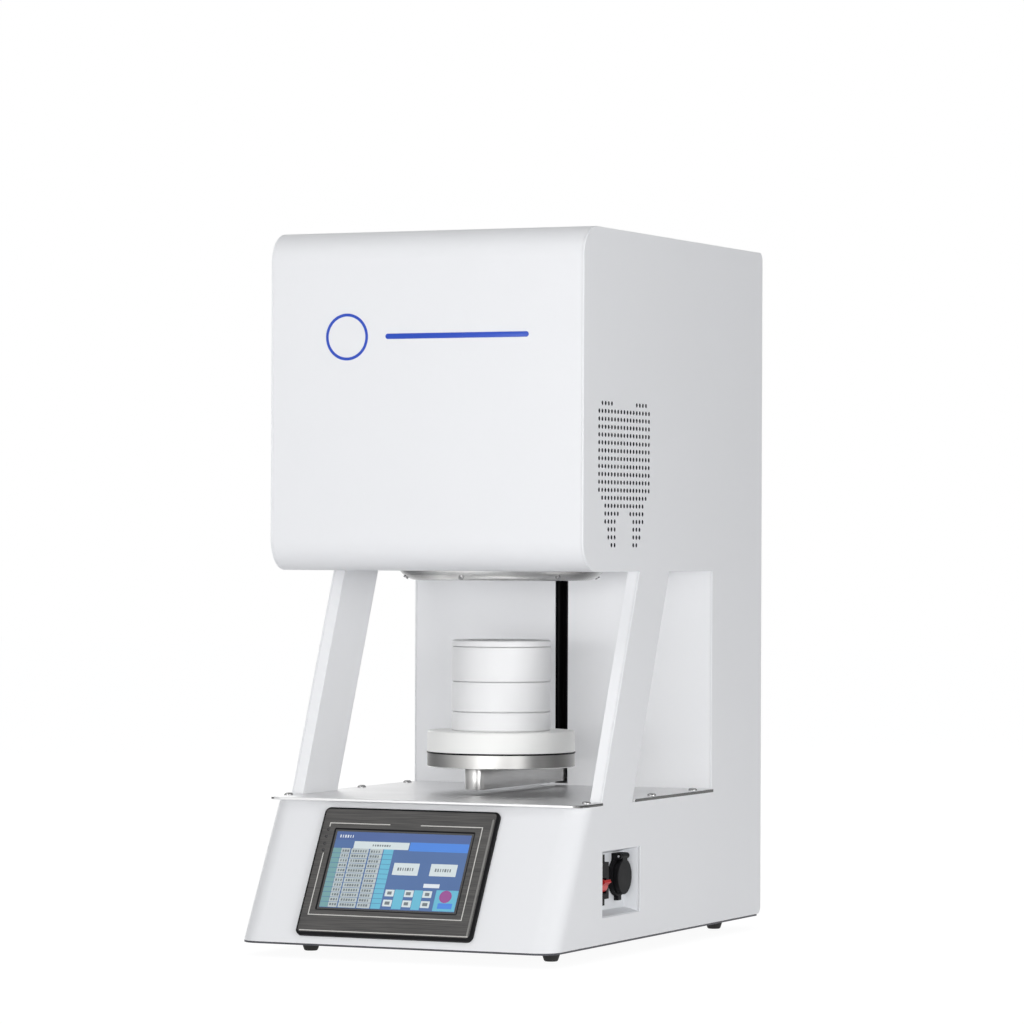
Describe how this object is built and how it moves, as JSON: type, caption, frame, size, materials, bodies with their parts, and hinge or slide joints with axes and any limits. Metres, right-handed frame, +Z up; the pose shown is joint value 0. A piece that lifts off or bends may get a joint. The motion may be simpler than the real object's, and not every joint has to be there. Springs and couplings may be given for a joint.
{
  "type": "dental sintering furnace",
  "caption": "Bottom-loading bench furnace for sintering dental work: white housing on slanted struts, lift with stacked crucible, steel work plate and a touch panel on the sloped base.",
  "frame": {"origin": "on the table, at the centre of the footprint", "axes": "+Z up, -Y towards the user who faces the touch panel, +X towards the side with the power recess"},
  "size_m": [0.344, 0.541, 0.714],
  "materials": {
    "white_shell": "white powder coat, satin",
    "stainless": "brushed",
    "polished_ring": "polished",
    "steel_bar": "ground",
    "dark_sheet": "black, satin",
    "rubber_foot": "matt",
    "bezel_plastic": "dark grey, fine brushed grain",
    "screen": "lit screen behind a clear panel",
    "zirconia": "unglazed, smooth",
    "fibre_board": "light fibre board",
    "silicide": "grey, smooth",
    "pocket_paint": "white powder coat, satin",
    "black_plastic": "fine grain",
    "red_plastic": "smooth",
    "brass": "turned",
    "rod_chrome": "ground and plated",
    "aluminium": "milled",
    "board_green": "solder mask",
    "copper_winding": "varnished wire"
  },
  "bodies": {
    "cabinet": {"side_plate_left": "white_shell", "side_plate_right": "white_shell", "housing_shell": "white_shell", "back_panel": "white_shell", "column_front_panel": "white_shell", "strut_cover_left": "white_shell", "strut_cover_right": "white_shell", "base_front_panel": "white_shell", "base_pan": "dark_sheet", "base_top_plate": "stainless", "plate_screws": "stainless", "feet": "rubber_foot", "touch_panel_bezel": "bezel_plastic", "touch_screen": "screen", "touch_panel_body": "black_plastic", "mouth_flange": "polished_ring", "flange_screws": "stainless", "chamber_insulation": "fibre_board", "chamber_roof": "fibre_board", "chamber_can": "stainless", "heating_elements": "silicide", "element_holders": "zirconia", "thermocouple": "zirconia", "drive_channel": "dark_sheet", "lower_bearing_block": "aluminium", "upper_bearing_block": "aluminium", "screw_bearings": "rod_chrome", "guide_rods": "rod_chrome", "lift_motor": "dark_sheet", "recess_pocket": "pocket_paint", "breaker_body": "black_plastic", "inlet_body": "black_plastic", "inlet_pins": "brass", "inlet_hinge_pin": "rod_chrome", "power_transformer": "copper_winding", "board_standoffs": "brass", "control_board": "board_green", "relay_heat_sink": "aluminium"},
    "lift": {"lift_arm": "steel_bar", "lift_carriage": "aluminium", "lift_nut": "brass", "hearth_disc": "stainless", "insulation_plug": "fibre_board", "crucible_base_tray": "zirconia"},
    "drive_screw": {"lead_screw": "rod_chrome", "shaft_coupling": "aluminium", "motor_shaft": "rod_chrome"},
    "middle_tray": {"crucible_middle_tray": "zirconia"},
    "upper_tray": {"crucible_upper_tray": "zirconia"},
    "tray_lid": {"crucible_lid": "zirconia"},
    "toggle": {"breaker_toggle": "red_plastic"},
    "inlet_flap": {"inlet_lid": "black_plastic"}
  },
  "joints": [
    {"name": "lift_travel", "type": "slide", "parent": "cabinet", "child": "lift", "axis": [0, 0, 1], "range_m": [0, 0.174]},
    {"name": "screw_turn", "type": "hinge", "parent": "cabinet", "child": "drive_screw", "pos_m": [0, 0.174, 0.1], "axis": [0, 0, 1], "range_deg": [0, 6270]},
    {"name": "middle_tray_off", "type": "slide", "parent": "lift", "child": "middle_tray", "axis": [0, 0, 1], "range_m": [0, 0.01]},
    {"name": "upper_tray_off", "type": "slide", "parent": "middle_tray", "child": "upper_tray", "axis": [0, 0, 1], "range_m": [0, 0.01]},
    {"name": "lid_off", "type": "slide", "parent": "upper_tray", "child": "tray_lid", "axis": [0, 0, 1], "range_m": [0, 0.02]},
    {"name": "breaker_switch", "type": "hinge", "parent": "cabinet", "child": "toggle", "pos_m": [0.1565, -0.129, 0.07], "axis": [0, 1, 0], "range_deg": [0, 56]},
    {"name": "inlet_flap_hinge", "type": "hinge", "parent": "cabinet", "child": "inlet_flap", "pos_m": [0.162, -0.082, 0.097], "axis": [0, -1, 0], "range_deg": [0, 90]}
  ],
  "couplings": [
    {"joint": "screw_turn", "follows": "lift_travel", "rad_per_m": 628.32}
  ]
}
